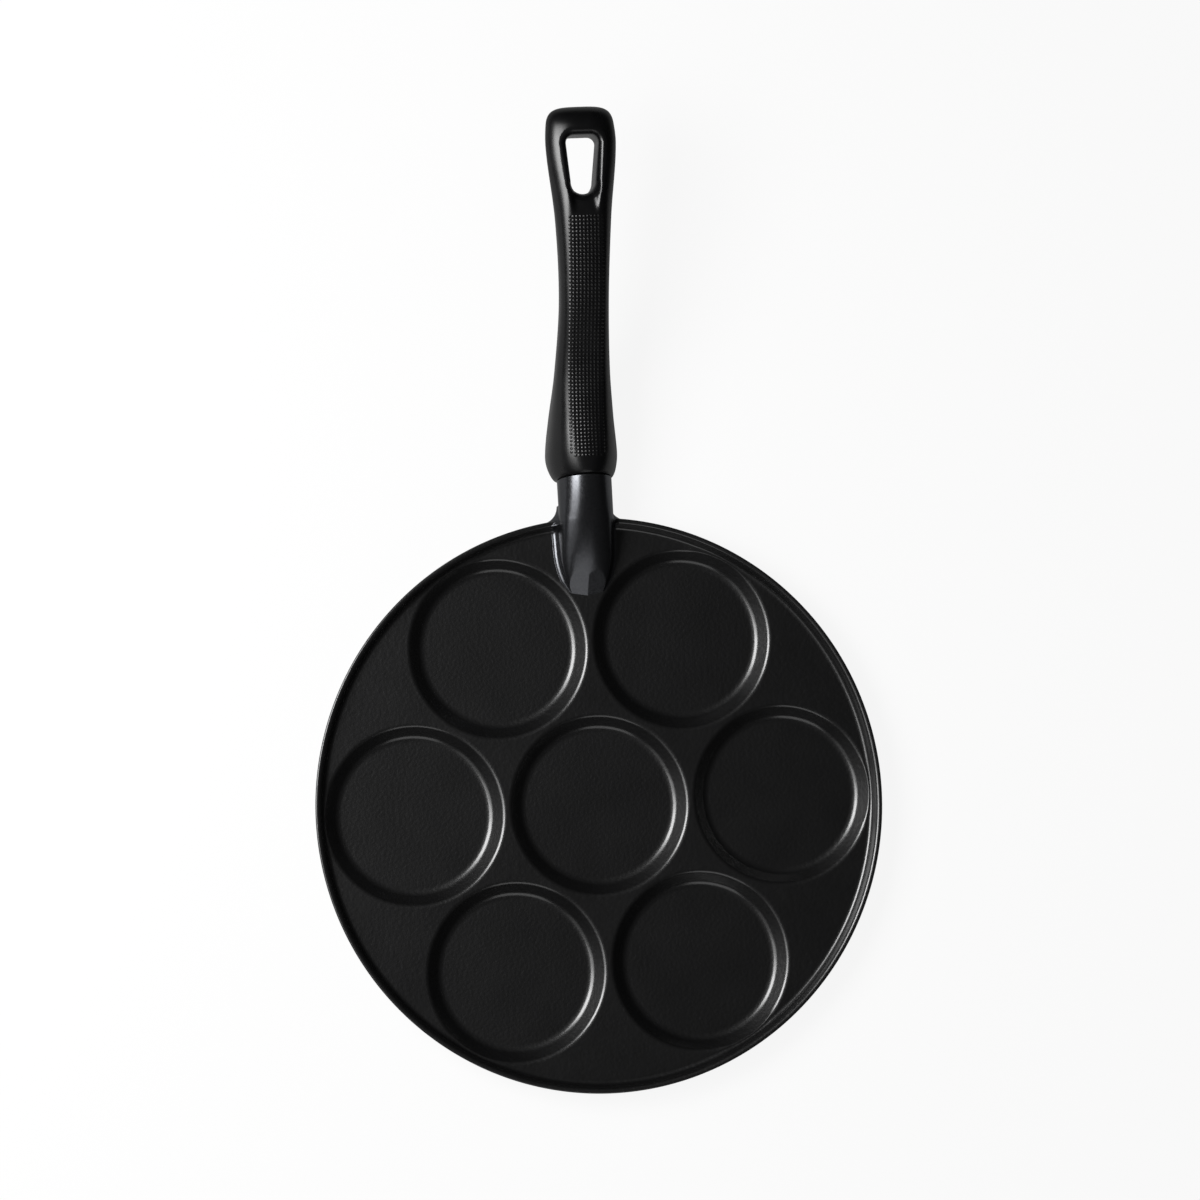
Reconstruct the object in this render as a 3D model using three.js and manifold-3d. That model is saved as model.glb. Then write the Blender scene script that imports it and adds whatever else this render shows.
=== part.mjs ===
// Plett pan: a cast aluminium griddle with seven round wells and a phenolic handle held by one screw.
// Millimetres, +Z up. The origin is on the standing plane under the middle well, and the handle points along +Y.

import * as THREE from 'three';
import { mergeVertices, toCreasedNormals } from 'three/addons/utils/BufferGeometryUtils.js';
import Module from 'manifold-3d';

// Wells and deck
const WELL_MOUTH_DIAMETER = 83.2;
const WELL_DEPTH = 5.6;
const WELL_WALL_RUN = 5.6; // how far the sloping wall leans in from mouth to floor
const WELL_LIP_RADIUS = 1.2;
const WELL_FLOOR_FILLET = 1.6;
const WELL_LAND = 3.4; // deck left between two neighbouring wells
const CASTING_THICKNESS = 3.2;
const OUTER_WELLS = 6;

// Rim
const RIM_LEDGE = 1.3; // deck left between an outer well and the foot of the rim
const RIM_DRAFT = 1.4; // how far the rim's inner face leans out from foot to top
const RIM_WIDTH = 2.6;
const RIM_HEIGHT = 5.4;
const RIM_EDGE_RADIUS = 0.8;
const RIM_FOOT_FILLET = 0.8;
const RIM_UNDERCUT = 1.8; // how far the outer face draws in from the top to the underside

// Stub that carries the handle, cast in one with the pan
const COLLAR_DIAMETER = 25.4;
const COLLAR_ABOVE_DECK = 9; // height of the collar's axis above the deck
const COLLAR_OVERHANG = 19.5; // length of the collar outside the rim
const COLLAR_ROOT = 5; // length of the round collar inward from the pan's edge
const STUB_LENGTH = 56; // from the nose on the deck to the collar's end
const STUB_WIDTH = 27; // width of the stub inside the rim
const STUB_STEP = 0.3; // how far the stub's crown lies below the collar's where they overlap
const CROWN_FALL = 1.7; // power of the curve on which the crown falls from the collar's end to the nose
const NOSE_WIDTH = 14.4;
const NOSE_TAPER = 22; // length over which the nose widens to the full stub
const CREASE_LENGTH = 15; // reach of the crease along the top of the nose
const CREASE_FALL = 0.2; // how steeply the nose falls away on each side of the crease
const WEB_RADIUS = 8; // cast fillets between the collar and the rim
const WEB_STEP = 0.3; // how far the fillets lie below the rim's top and bite into its face

// Tang cast on the end of the collar, which keeps the handle from turning
const TANG_WIDTH = 14;
const TANG_HEIGHT = 10;
const TANG_LENGTH = 34;
const TANG_RAISE = 2.5; // height of the tang's middle over the collar's axis

// Handle. Stations lie along +Y from its end at the collar, with the top's height over the collar's axis,
// the depth of the section, the height of its widest line as a share of that depth, and the flat along its top.
const HANDLE_LENGTH = 165.5;
const HANDLE_LIP = 1.6; // how far the handle stands out past the collar at their joint
const MOUTH_LEAN = 8; // degrees that the joint leans, with its foot towards the pan
const MOUTH_ROUNDING = 5; // length of the rounded edge at the joint
const MOUTH_INSET = 2; // how far that edge draws in at the sides
const MOUTH_BELLY = 0.42;
const MOUTH_LAND = 1.2;
const BULGE = { at: 10, width: 33.2, top: 15.8, depth: 29.2, belly: 0.22, land: 8 };
const SHOULDER = { at: 26, width: 29.8, top: 17.2, depth: 28, belly: 0.3, land: 12.4 };
const NECK = { at: 48, width: 25.4, top: 22.4, depth: 26.4, belly: 0.58, land: 13.2 };
const WAIST = { at: 79, width: 22.8, top: 35.8, depth: 24, belly: 0.64, land: 13.2 };
const PALM = { at: 114, width: 25.8, top: 46, depth: 20.6, belly: 0.58, land: 12.4 };
const BUTT = { at: 148, width: 31.8, top: 50.4, depth: 17.4, belly: 0.55, land: 6.4 };
const FLANK_FULLNESS = 1.2; // how much squarer than an ellipse the steepest flanks are
const END_ROUNDING = 10; // length of the rounded butt end
const END_SQUARENESS = 2.6; // power of the butt's rounded outline, where 2 is an ellipse

// Hanging hole and its scoop
const HOLE_FROM_END = 12.4;
const HOLE_LENGTH = 28;
const HOLE_WIDE = 15;
const HOLE_NARROW = 11.4;
const HOLE_CORNER = 3.6;
const SCOOP_RUN = 8.4;
const SCOOP_DEPTH = 5;
const SCOOP_WIDTH = 9.4;

// Fastening from below: an M5 slotted cheese-head screw with a split washer and a plain washer
const SCREW_AT = 14; // distance from the collar's end
const SCREW_DIAMETER = 5;
const SCREW_HEAD_DIAMETER = 8.5;
const SCREW_HEAD_HEIGHT = 3.3;
const SCREW_CHAMFER = 0.6;
const SCREW_RECESS = 0.8; // depth of the head below the handle's underside
const SCREW_COVER = 2; // metal of the tang left above the screw's tip
const SLOT_WIDTH = 1.2;
const SLOT_DEPTH = 1.3;
const LOCK_WASHER_OUTER = 9.2;
const LOCK_WASHER_INNER = 5.7;
const LOCK_WASHER_THICKNESS = 1.2;
const LOCK_WASHER_GAP = 10; // degrees
const FLAT_WASHER_OUTER = 10;
const FLAT_WASHER_INNER = 5.6;
const FLAT_WASHER_THICKNESS = 1;
const FIT_GAP = 0.3; // clearance wherever two pieces meet

// Facets on round shapes
const PAN_SEGMENTS = 96;
const WELL_SEGMENTS = 40;
const STUB_SEGMENTS = 40;
const SMALL_SEGMENTS = 24;

// Heights and radii that follow from the sizes above
const wellMouth = WELL_MOUTH_DIAMETER / 2;
const wellFloor = wellMouth - WELL_WALL_RUN;
const wellPitch = WELL_MOUTH_DIAMETER + WELL_LAND;
const floorTop = CASTING_THICKNESS;
const deckTop = floorTop + WELL_DEPTH;
const deckBottom = deckTop - CASTING_THICKNESS;
const rimTop = deckTop + RIM_HEIGHT;
const rimFoot = wellPitch + wellMouth + RIM_LEDGE;
const panRadius = rimFoot + RIM_DRAFT + RIM_WIDTH;
const collarRadius = COLLAR_DIAMETER / 2;
const collarAxis = deckTop + COLLAR_ABOVE_DECK;
const collarEnd = panRadius + COLLAR_OVERHANG;
const noseEnd = collarEnd - STUB_LENGTH;
const handleStart = collarEnd + FIT_GAP;
const handleEnd = handleStart + HANDLE_LENGTH;
const mouthLean = Math.tan(THREE.MathUtils.degToRad(MOUTH_LEAN));
const holeFar = handleEnd - HOLE_FROM_END;
const holeNear = holeFar - HOLE_LENGTH;

const wasm = await Module();
wasm.setup();

// Turns a closed geometry into a solid that can be joined and cut.
function solid(geometry) {
  const bare = geometry.clone();
  bare.deleteAttribute('normal');
  bare.deleteAttribute('uv');
  const merged = mergeVertices(bare, 1e-4);
  const vertProperties = new Float32Array(merged.attributes.position.array);
  const triVerts = new Uint32Array(merged.index.array);
  return new wasm.Manifold(new wasm.Mesh({ numProp: 3, vertProperties, triVerts }));
}

function geometryOf(manifold) {
  const mesh = manifold.getMesh();
  const geometry = new THREE.BufferGeometry();
  geometry.setAttribute('position', new THREE.BufferAttribute(mesh.vertProperties, 3));
  geometry.setIndex(new THREE.BufferAttribute(mesh.triVerts, 1));
  return toCreasedNormals(geometry, Math.PI / 6);
}

function arc(x, y, radius, fromDegrees, toDegrees, steps) {
  return Array.from({ length: steps + 1 }, (_, i) => {
    const angle = THREE.MathUtils.degToRad(fromDegrees + ((toDegrees - fromDegrees) * i) / steps);
    return new THREE.Vector2(x + radius * Math.cos(angle), y + radius * Math.sin(angle));
  });
}

function turned(profile, segments) {
  const upright = new THREE.LatheGeometry(profile, segments);
  return upright.rotateX(Math.PI / 2);
}

function alongX(shape, fromX, toX) {
  const geometry = new THREE.ExtrudeGeometry(shape, { depth: toX - fromX, bevelEnabled: false });
  const basis = new THREE.Matrix4().makeBasis(
    new THREE.Vector3(0, 1, 0),
    new THREE.Vector3(0, 0, 1),
    new THREE.Vector3(1, 0, 0),
  );
  return geometry.applyMatrix4(basis).translate(fromX, 0, 0);
}

function alongZ(shape, fromZ, toZ) {
  const options = { depth: toZ - fromZ, bevelEnabled: false, curveSegments: SMALL_SEGMENTS / 2 };
  return new THREE.ExtrudeGeometry(shape, options).translate(0, 0, fromZ);
}

function box(width, length, height, x, y, z) {
  return new THREE.BoxGeometry(width, length, height).translate(x, y, z);
}

// Skin over a row of cross-sections, closed at both ends
function skinned(sections) {
  const count = sections[0].length;
  const positions = sections.flat(2);
  const index = [];
  for (let row = 0; row + 1 < sections.length; row += 1) {
    for (let i = 0; i < count; i += 1) {
      const a = row * count + i;
      const b = row * count + ((i + 1) % count);
      index.push(a, b, a + count, b, b + count, a + count);
    }
  }
  const lastRow = (sections.length - 1) * count;
  for (let i = 1; i + 1 < count; i += 1) {
    index.push(0, i + 1, i);
    index.push(lastRow, lastRow + i, lastRow + i + 1);
  }
  const geometry = new THREE.BufferGeometry();
  geometry.setAttribute('position', new THREE.Float32BufferAttribute(positions, 3));
  geometry.setIndex(index);
  return geometry;
}

// Handle: smooth curve through (distance, value) pairs
function through(pairs, distance) {
  const last = pairs.length - 1;
  const slope = (i) => {
    const before = pairs[Math.max(i - 1, 0)];
    const after = pairs[Math.min(i + 1, last)];
    return (after[1] - before[1]) / (after[0] - before[0]);
  };
  let i = 0;
  while (i < last - 1 && distance > pairs[i + 1][0]) {
    i += 1;
  }
  const span = pairs[i + 1][0] - pairs[i][0];
  const t = (distance - pairs[i][0]) / span;
  const rise = pairs[i + 1][1] - pairs[i][1];
  const bend = (2 * t - 3) * t * t;
  const start = slope(i) * span * t * (1 - t) ** 2;
  const finish = slope(i + 1) * span * t * t * (t - 1);
  return pairs[i][1] - rise * bend + start + finish;
}

const mouthReach = collarRadius + (HANDLE_LIP + MOUTH_INSET) / 2;
const mouthWidth = COLLAR_DIAMETER + 2 * (HANDLE_LIP + MOUTH_INSET);
const MOUTH = {
  at: 0,
  width: mouthWidth,
  top: mouthReach,
  depth: 2 * mouthReach,
  belly: MOUTH_BELLY,
  land: MOUTH_LAND,
};
const stations = [MOUTH, BULGE, SHOULDER, NECK, WAIST, PALM, BUTT, { ...BUTT, at: HANDLE_LENGTH }];
const gripWidths = stations.map(({ at, width }) => [at, width]);
const gripTops = stations.map(({ at, top }) => [at, top]);
const gripDepths = stations.map(({ at, depth }) => [at, depth]);
const gripBellies = stations.map(({ at, belly }) => [at, belly]);
const gripLands = stations.map(({ at, land }) => [at, land]);

// The screw's axis: local +Y runs up along it, from the level of the collar's axis.
const screwLine = new THREE.Group();
screwLine.position.set(0, collarEnd + SCREW_AT, collarAxis);
screwLine.rotation.x = Math.PI / 2;
screwLine.updateMatrix();

function rodOnScrewLine(radius, from, to) {
  const rod = new THREE.CylinderGeometry(radius, radius, to - from, SMALL_SEGMENTS);
  return rod.translate(0, (from + to) / 2, 0).applyMatrix4(screwLine.matrix);
}

// Where the screw's parts sit along the screw line
const underside = through(gripTops, SCREW_AT) - through(gripDepths, SCREW_AT);
const headEnd = underside + SCREW_RECESS;
const headSeat = headEnd + SCREW_HEAD_HEIGHT;
const lockSeat = headSeat + FIT_GAP;
const flatSeat = lockSeat + LOCK_WASHER_THICKNESS + FIT_GAP;
const pocketFloor = flatSeat + FLAT_WASHER_THICKNESS + FIT_GAP;
const screwTip = TANG_RAISE + TANG_HEIGHT / 2 - SCREW_COVER;
const screwBore = SCREW_DIAMETER / 2 + FIT_GAP;

// Pan: disc with its rim
function discProfile() {
  const innerTop = panRadius - RIM_WIDTH;
  const outerFoot = panRadius - RIM_UNDERCUT;
  const footLean = Math.atan2(RIM_HEIGHT, RIM_DRAFT);
  const footTangent = RIM_FOOT_FILLET * Math.tan(footLean / 2);
  const footAngle = THREE.MathUtils.radToDeg(footLean);
  return [
    new THREE.Vector2(0, deckBottom),
    new THREE.Vector2(outerFoot - RIM_EDGE_RADIUS, deckBottom),
    new THREE.Vector2(outerFoot, deckBottom + RIM_EDGE_RADIUS),
    ...arc(panRadius - RIM_EDGE_RADIUS, rimTop - RIM_EDGE_RADIUS, RIM_EDGE_RADIUS, 0, 90, 3),
    ...arc(innerTop + RIM_EDGE_RADIUS, rimTop - RIM_EDGE_RADIUS, RIM_EDGE_RADIUS, 90, 90 + footAngle, 3),
    ...arc(rimFoot - footTangent, deckTop + RIM_FOOT_FILLET, RIM_FOOT_FILLET, footAngle - 90, -90, 3),
    new THREE.Vector2(0, deckTop),
  ];
}

// Pan: the hollow of one well, reaching a little above the deck
function wellProfile() {
  const lean = Math.atan2(WELL_DEPTH, WELL_WALL_RUN);
  const leanDegrees = THREE.MathUtils.radToDeg(lean);
  const floorTangent = WELL_FLOOR_FILLET * Math.tan(lean / 2);
  const lipTangent = WELL_LIP_RADIUS * Math.tan(lean / 2);
  const lipEdge = wellMouth + lipTangent;
  return [
    new THREE.Vector2(0, floorTop),
    ...arc(wellFloor - floorTangent, floorTop + WELL_FLOOR_FILLET, WELL_FLOOR_FILLET, -90, leanDegrees - 90, 3),
    ...arc(lipEdge, deckTop - WELL_LIP_RADIUS, WELL_LIP_RADIUS, 90 + leanDegrees, 90, 3),
    new THREE.Vector2(lipEdge, rimTop),
    new THREE.Vector2(0, rimTop),
  ];
}

// Pan: the outside of one well, a flat round pad that the pan stands on
function padProfile() {
  const lean = Math.atan2(WELL_DEPTH, WELL_WALL_RUN);
  const padFloor = wellFloor + CASTING_THICKNESS * Math.tan(lean / 2);
  const padTop = padFloor + deckBottom / Math.tan(lean);
  const buried = deckBottom + CASTING_THICKNESS / 2;
  return [
    new THREE.Vector2(0, 0),
    new THREE.Vector2(padFloor, 0),
    new THREE.Vector2(padTop, deckBottom),
    new THREE.Vector2(padTop, buried),
    new THREE.Vector2(0, buried),
  ];
}

// Pan: height of the stub's top line, level at the collar's end and falling away to the nose
function crownAt(y) {
  const back = THREE.MathUtils.clamp((collarEnd - y) / STUB_LENGTH, 0, 1);
  return deckTop + (collarAxis + collarRadius - deckTop) * (1 - back ** CROWN_FALL);
}

// Pan: cross-section of the stub inside the rim, an arch on the deck that narrows and is creased towards the nose
function stubSection(y) {
  const taper = THREE.MathUtils.clamp((y - noseEnd) / NOSE_TAPER, 0, 1);
  const half = (NOSE_WIDTH + (STUB_WIDTH - NOSE_WIDTH) * Math.sin((taper * Math.PI) / 2)) / 2;
  const crown = crownAt(y) - STUB_STEP * taper;
  const spring = Math.min(collarAxis, (deckTop + crown) / 2);
  const crease = CREASE_FALL * THREE.MathUtils.smoothstep(noseEnd + CREASE_LENGTH - y, 0, CREASE_LENGTH / 2);
  const buried = deckTop - CASTING_THICKNESS / 2;
  const arch = arc(0, 0, 1, 180, 0, STUB_SEGMENTS / 2).map((point) => [
    half * point.x,
    y,
    spring + (crown - spring - crease * half * Math.abs(point.x) * point.y) * point.y,
  ]);
  return [[-half, y, buried], ...arch, [half, y, buried]];
}

// Pan: cross-section of the collar, round below and arched up to the crown above
function collarSection(y) {
  const lastAngle = 360 / STUB_SEGMENTS - 180;
  return arc(0, 0, collarRadius, 180, lastAngle, STUB_SEGMENTS - 1).map((point) => {
    const stretch = point.y > 0 ? (crownAt(y) - collarAxis) / collarRadius : 1;
    return [point.x, y, collarAxis + stretch * point.y];
  });
}

// Pan: side view of the collar, with its leaning end
function collarSide() {
  const start = panRadius - COLLAR_ROOT;
  const above = collarAxis + COLLAR_DIAMETER;
  const below = collarAxis - COLLAR_DIAMETER;
  const crown = collarAxis + collarRadius;
  const shape = new THREE.Shape();
  shape.moveTo(start, below);
  shape.lineTo(collarEnd + (below - crown) * mouthLean, below);
  shape.lineTo(collarEnd + (above - crown) * mouthLean, above);
  shape.lineTo(start, above);
  return shape;
}

// Pan: plan outline of the cast fillets on both sides of the collar
function webPlan() {
  const centreX = collarRadius - WEB_STEP + WEB_RADIUS;
  const centreY = Math.sqrt((panRadius - WEB_STEP + WEB_RADIUS) ** 2 - centreX ** 2);
  const rimAngle = Math.atan2(centreY, centreX);
  const shape = new THREE.Shape();
  shape.moveTo(WEB_RADIUS - centreX, centreY);
  shape.absarc(-centreX, centreY, WEB_RADIUS, 0, -rimAngle, true);
  shape.lineTo(0, panRadius - RIM_WIDTH);
  shape.absarc(centreX, centreY, WEB_RADIUS, Math.PI + rimAngle, Math.PI, true);
  return shape;
}

function makePan() {
  let pan = solid(turned(discProfile(), PAN_SEGMENTS));
  const pad = turned(padProfile(), WELL_SEGMENTS);
  const well = turned(wellProfile(), WELL_SEGMENTS);
  const centres = [new THREE.Vector2(0, 0)];
  for (let i = 0; i < OUTER_WELLS; i += 1) {
    const angle = (i * 2 * Math.PI) / OUTER_WELLS;
    centres.push(new THREE.Vector2(wellPitch * Math.cos(angle), wellPitch * Math.sin(angle)));
  }
  for (const centre of centres) {
    pan = pan.add(solid(pad.clone().translate(centre.x, centre.y, 0)));
  }
  for (const centre of centres) {
    pan = pan.subtract(solid(well.clone().translate(centre.x, centre.y, 0)));
  }

  const stubRows = 14;
  const inRim = panRadius - RIM_WIDTH / 2;
  const rows = Array.from({ length: stubRows }, (_, i) => noseEnd + (inRim - noseEnd) * ((i + 1) / stubRows) ** 2);
  const stub = solid(skinned(rows.map(stubSection)));
  const collarSpans = 6;
  const collarStart = panRadius - COLLAR_ROOT;
  const collarRows = Array.from({ length: collarSpans + 1 }, (_, i) => {
    return collarStart + ((collarEnd + COLLAR_ROOT - collarStart) * i) / collarSpans;
  });
  const side = solid(alongX(collarSide(), -COLLAR_DIAMETER, COLLAR_DIAMETER));
  const collar = solid(skinned(collarRows.map(collarSection))).intersect(side);
  const web = solid(alongZ(webPlan(), deckTop - CASTING_THICKNESS / 2, rimTop - WEB_STEP));
  const tangMiddle = collarEnd + (TANG_LENGTH - collarRadius) / 2;
  const tang = box(TANG_WIDTH, TANG_LENGTH + collarRadius, TANG_HEIGHT, 0, tangMiddle, collarAxis + TANG_RAISE);
  const tapped = rodOnScrewLine(screwBore, -TANG_HEIGHT, screwTip + FIT_GAP);
  return pan.add(stub).add(collar).add(web).add(solid(tang)).subtract(solid(tapped));
}

// Handle: cross-section at a distance from the collar: flat top land, swelling flanks, round underside
function gripSection(distance) {
  const intoMouth = Math.max(0, 1 - distance / MOUTH_ROUNDING);
  const turn = 1 - Math.sqrt(1 - intoMouth ** 2);
  const inset = MOUTH_INSET * turn;
  const intoEnd = Math.max(0, 1 - (HANDLE_LENGTH - distance) / END_ROUNDING);
  const squeeze = Math.sqrt(1 - intoEnd ** 2);
  const narrow = (1 - intoEnd ** END_SQUARENESS) ** (1 / END_SQUARENESS);
  const half = (through(gripWidths, distance) / 2 - inset) * narrow;
  const land = (through(gripLands, distance) / 2) * (1 - turn) * narrow;
  const crest = collarAxis + through(gripTops, distance) - inset / 2;
  const depth = through(gripDepths, distance) - inset;
  const belly = crest - depth * (1 - through(gripBellies, distance));
  const top = belly + (crest - belly) * squeeze;
  const bottom = belly + (crest - depth - belly) * squeeze;
  const fullness = 2 + THREE.MathUtils.clamp((top - belly) / (half - land) - 1, 0, FLANK_FULLNESS);
  const flankSteps = 8;
  const underSteps = 14;
  const points = [];
  for (let i = 0; i <= flankSteps; i += 1) {
    const angle = (i / flankSteps) * (Math.PI / 2);
    const rise = Math.cos(angle) ** (2 / fullness);
    points.push([land + (half - land) * Math.sin(angle), belly + (top - belly) * rise]);
  }
  for (let i = 1; i < underSteps; i += 1) {
    const angle = (i / underSteps) * Math.PI;
    points.push([half * Math.cos(angle), belly - (belly - bottom) * Math.sin(angle)]);
  }
  for (let i = flankSteps; i >= 0; i -= 1) {
    points.push([-points[i][0], points[i][1]]);
  }
  const lean = mouthLean * Math.max(0, 1 - distance / SHOULDER.at) ** 2;
  const pivot = collarAxis + collarRadius;
  return points.map(([x, z]) => [x, handleStart + distance + (z - pivot) * lean, z]);
}

// Handle: outline of the hanging hole, round towards the pan and wider towards the butt
function holePlan() {
  const round = HOLE_NARROW / 2;
  const wide = HOLE_WIDE / 2;
  const shape = new THREE.Shape();
  shape.moveTo(-round, holeNear + round);
  shape.absarc(0, holeNear + round, round, Math.PI, 2 * Math.PI);
  shape.lineTo(wide, holeFar - HOLE_CORNER);
  shape.quadraticCurveTo(wide, holeFar, wide - HOLE_CORNER, holeFar);
  shape.lineTo(-wide + HOLE_CORNER, holeFar);
  shape.quadraticCurveTo(-wide, holeFar, -wide, holeFar - HOLE_CORNER);
  return shape;
}

// Handle: side view of the scoop that slopes down into the hanging hole
function scoopSide() {
  const topAt = (y) => collarAxis + through(gripTops, y - handleStart);
  const deepEnd = holeNear + HOLE_NARROW / 2;
  const shape = new THREE.Shape();
  shape.moveTo(holeNear - SCOOP_RUN, topAt(holeNear - SCOOP_RUN));
  shape.lineTo(deepEnd, topAt(deepEnd) - SCOOP_DEPTH);
  shape.lineTo(deepEnd, topAt(deepEnd) + SCOOP_DEPTH);
  shape.lineTo(holeNear - SCOOP_RUN, topAt(deepEnd) + SCOOP_DEPTH);
  return shape;
}

function makeHandle() {
  const mouthRows = 4;
  const gripRows = 22;
  const endRows = 6;
  const straight = HANDLE_LENGTH - END_ROUNDING;
  const distances = [];
  for (let i = 0; i < mouthRows; i += 1) {
    distances.push(MOUTH_ROUNDING * (1 - Math.cos((i / mouthRows) * (Math.PI / 2))));
  }
  for (let i = 0; i < gripRows; i += 1) {
    distances.push(MOUTH_ROUNDING + ((straight - MOUTH_ROUNDING) * i) / gripRows);
  }
  for (let i = 0; i <= endRows; i += 1) {
    const angle = (i / (endRows + 0.5)) * (Math.PI / 2);
    distances.push(straight + END_ROUNDING * Math.sin(angle));
  }
  const body = skinned(distances.map(gripSection));
  const socketLength = TANG_LENGTH + COLLAR_OVERHANG;
  const socket = box(
    TANG_WIDTH + 2 * FIT_GAP,
    socketLength,
    TANG_HEIGHT + 2 * FIT_GAP,
    0,
    collarEnd + TANG_LENGTH + FIT_GAP - socketLength / 2,
    collarAxis + TANG_RAISE,
  );
  const cuts = [
    socket,
    alongZ(holePlan(), collarAxis, collarAxis + BUTT.top + BUTT.depth),
    alongX(scoopSide(), -SCOOP_WIDTH / 2, SCOOP_WIDTH / 2),
    rodOnScrewLine(screwBore, pocketFloor - FIT_GAP, TANG_RAISE),
    rodOnScrewLine(FLAT_WASHER_OUTER / 2 + FIT_GAP, 2 * underside, pocketFloor),
  ];
  return cuts.reduce((handle, cut) => handle.subtract(solid(cut)), solid(body));
}

// Screw, turned about its own axis, with a slot across the head at its lower end
function makeScrew() {
  const shank = SCREW_DIAMETER / 2;
  const head = SCREW_HEAD_DIAMETER / 2;
  const profile = [
    new THREE.Vector2(0, headEnd),
    new THREE.Vector2(head - SCREW_CHAMFER, headEnd),
    new THREE.Vector2(head, headEnd + SCREW_CHAMFER),
    new THREE.Vector2(head, headSeat),
    new THREE.Vector2(shank, headSeat),
    new THREE.Vector2(shank, screwTip - SCREW_CHAMFER),
    new THREE.Vector2(shank - SCREW_CHAMFER, screwTip),
    new THREE.Vector2(0, screwTip),
  ];
  const blank = solid(new THREE.LatheGeometry(profile, SMALL_SEGMENTS));
  const slot = box(2 * SCREW_HEAD_DIAMETER, 2 * SLOT_DEPTH, SLOT_WIDTH, 0, headEnd, 0);
  return blank.subtract(solid(slot));
}

// Washer around the screw line, split by a gap in degrees
function washer(outer, inner, thickness, gapDegrees, from) {
  const gap = THREE.MathUtils.degToRad(gapDegrees);
  const shape = new THREE.Shape();
  if (gap > 0) {
    shape.absarc(0, 0, outer / 2, gap / 2, 2 * Math.PI - gap / 2);
    shape.absarc(0, 0, inner / 2, 2 * Math.PI - gap / 2, gap / 2, true);
  } else {
    shape.absarc(0, 0, outer / 2, 0, 2 * Math.PI);
    shape.holes.push(new THREE.Path().absarc(0, 0, inner / 2, 0, 2 * Math.PI));
  }
  const options = { depth: thickness, bevelEnabled: false, curveSegments: SMALL_SEGMENTS };
  return new THREE.ExtrudeGeometry(shape, options).rotateX(Math.PI / 2).translate(0, from + thickness, 0);
}

const coatedAluminium = new THREE.MeshStandardMaterial({ color: 0x2a2a2c, roughness: 0.45, metalness: 0.35 });
const blackPhenolic = new THREE.MeshStandardMaterial({ color: 0x131314, roughness: 0.3, metalness: 0 });
const platedScrew = new THREE.MeshStandardMaterial({ color: 0xb4b7ba, roughness: 0.35, metalness: 1 });
const springSteel = new THREE.MeshStandardMaterial({ color: 0x8c8f93, roughness: 0.4, metalness: 1 });
const platedWasher = new THREE.MeshStandardMaterial({ color: 0xbcbfc2, roughness: 0.35, metalness: 1 });

function named(name, geometry, material) {
  const mesh = new THREE.Mesh(geometry, material);
  mesh.name = name;
  return mesh;
}

const lockWasher = washer(LOCK_WASHER_OUTER, LOCK_WASHER_INNER, LOCK_WASHER_THICKNESS, LOCK_WASHER_GAP, lockSeat);
const flatWasher = washer(FLAT_WASHER_OUTER, FLAT_WASHER_INNER, FLAT_WASHER_THICKNESS, 0, flatSeat);

const plettPan = new THREE.Group();
plettPan.add(named('pan_body', geometryOf(makePan()), coatedAluminium));
plettPan.add(named('handle_grip', geometryOf(makeHandle()), blackPhenolic));
plettPan.add(screwLine);
screwLine.add(named('handle_screw', geometryOf(makeScrew()), platedScrew));
screwLine.add(named('lock_washer', lockWasher, springSteel));
screwLine.add(named('flat_washer', flatWasher, platedWasher));

export default plettPan;
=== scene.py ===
import math

import bpy
import bmesh
import numpy as np
from mathutils import Matrix, Vector, geometry


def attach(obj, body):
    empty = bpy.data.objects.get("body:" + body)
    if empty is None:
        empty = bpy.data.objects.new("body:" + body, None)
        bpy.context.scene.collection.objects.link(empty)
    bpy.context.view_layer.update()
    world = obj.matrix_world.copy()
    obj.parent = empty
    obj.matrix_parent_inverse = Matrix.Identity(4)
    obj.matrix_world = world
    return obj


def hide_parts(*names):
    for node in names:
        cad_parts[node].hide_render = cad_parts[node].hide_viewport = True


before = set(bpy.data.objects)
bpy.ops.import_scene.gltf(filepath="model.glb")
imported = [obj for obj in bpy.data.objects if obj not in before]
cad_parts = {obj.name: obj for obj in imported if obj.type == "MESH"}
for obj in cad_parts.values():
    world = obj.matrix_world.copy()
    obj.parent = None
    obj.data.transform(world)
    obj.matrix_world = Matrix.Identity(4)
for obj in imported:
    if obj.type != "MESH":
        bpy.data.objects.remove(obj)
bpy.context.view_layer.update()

# ------------------------------------------------------------------------------------------------
# Pan disc: the round part of a single aluminium casting, a flat deck with seven shallow wells and
# a low drafted rim. It is die cast, faced flat under each well where it meets the stove, and
# sprayed all over with a black non-stick coat.
# ------------------------------------------------------------------------------------------------
MM = 0.001  # sizes are in millimetres, and become metres when a mesh is made
FLOOR, DECK, DECK_UNDER, RIM_TOP = 3.2, 8.8, 5.6, 14.2  # levels over the stove
WELL_MOUTH, WELL_FLOOR, WELL_PITCH = 41.6, 36.0, 86.6
LIP_RADIUS, FLOOR_FILLET, RIM_FILLET = 3.2, 5.4, 2.6
RIM_FOOT, RIM_INNER, RIM_OUTER, RIM_UNDER = 129.5, 130.9, 133.5, 131.7
RIM_INNER_EDGE, RIM_OUTER_EDGE, RIM_UNDER_EDGE = 1.9, 0.7, 0.8
PAD_FACE, PAD_ROOT, PAD_EDGE, PAD_FILLET = 37.3, 42.9, 1.0, 0.6
GROOVE_RADII, GROOVE_MOUTH, GROOVE_ROOT, GROOVE_DEPTH = (28.7, 19.7, 10.7), 0.9, 0.5, 0.25
WELL_STEPS, RIM_STEPS = 144, 360
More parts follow.
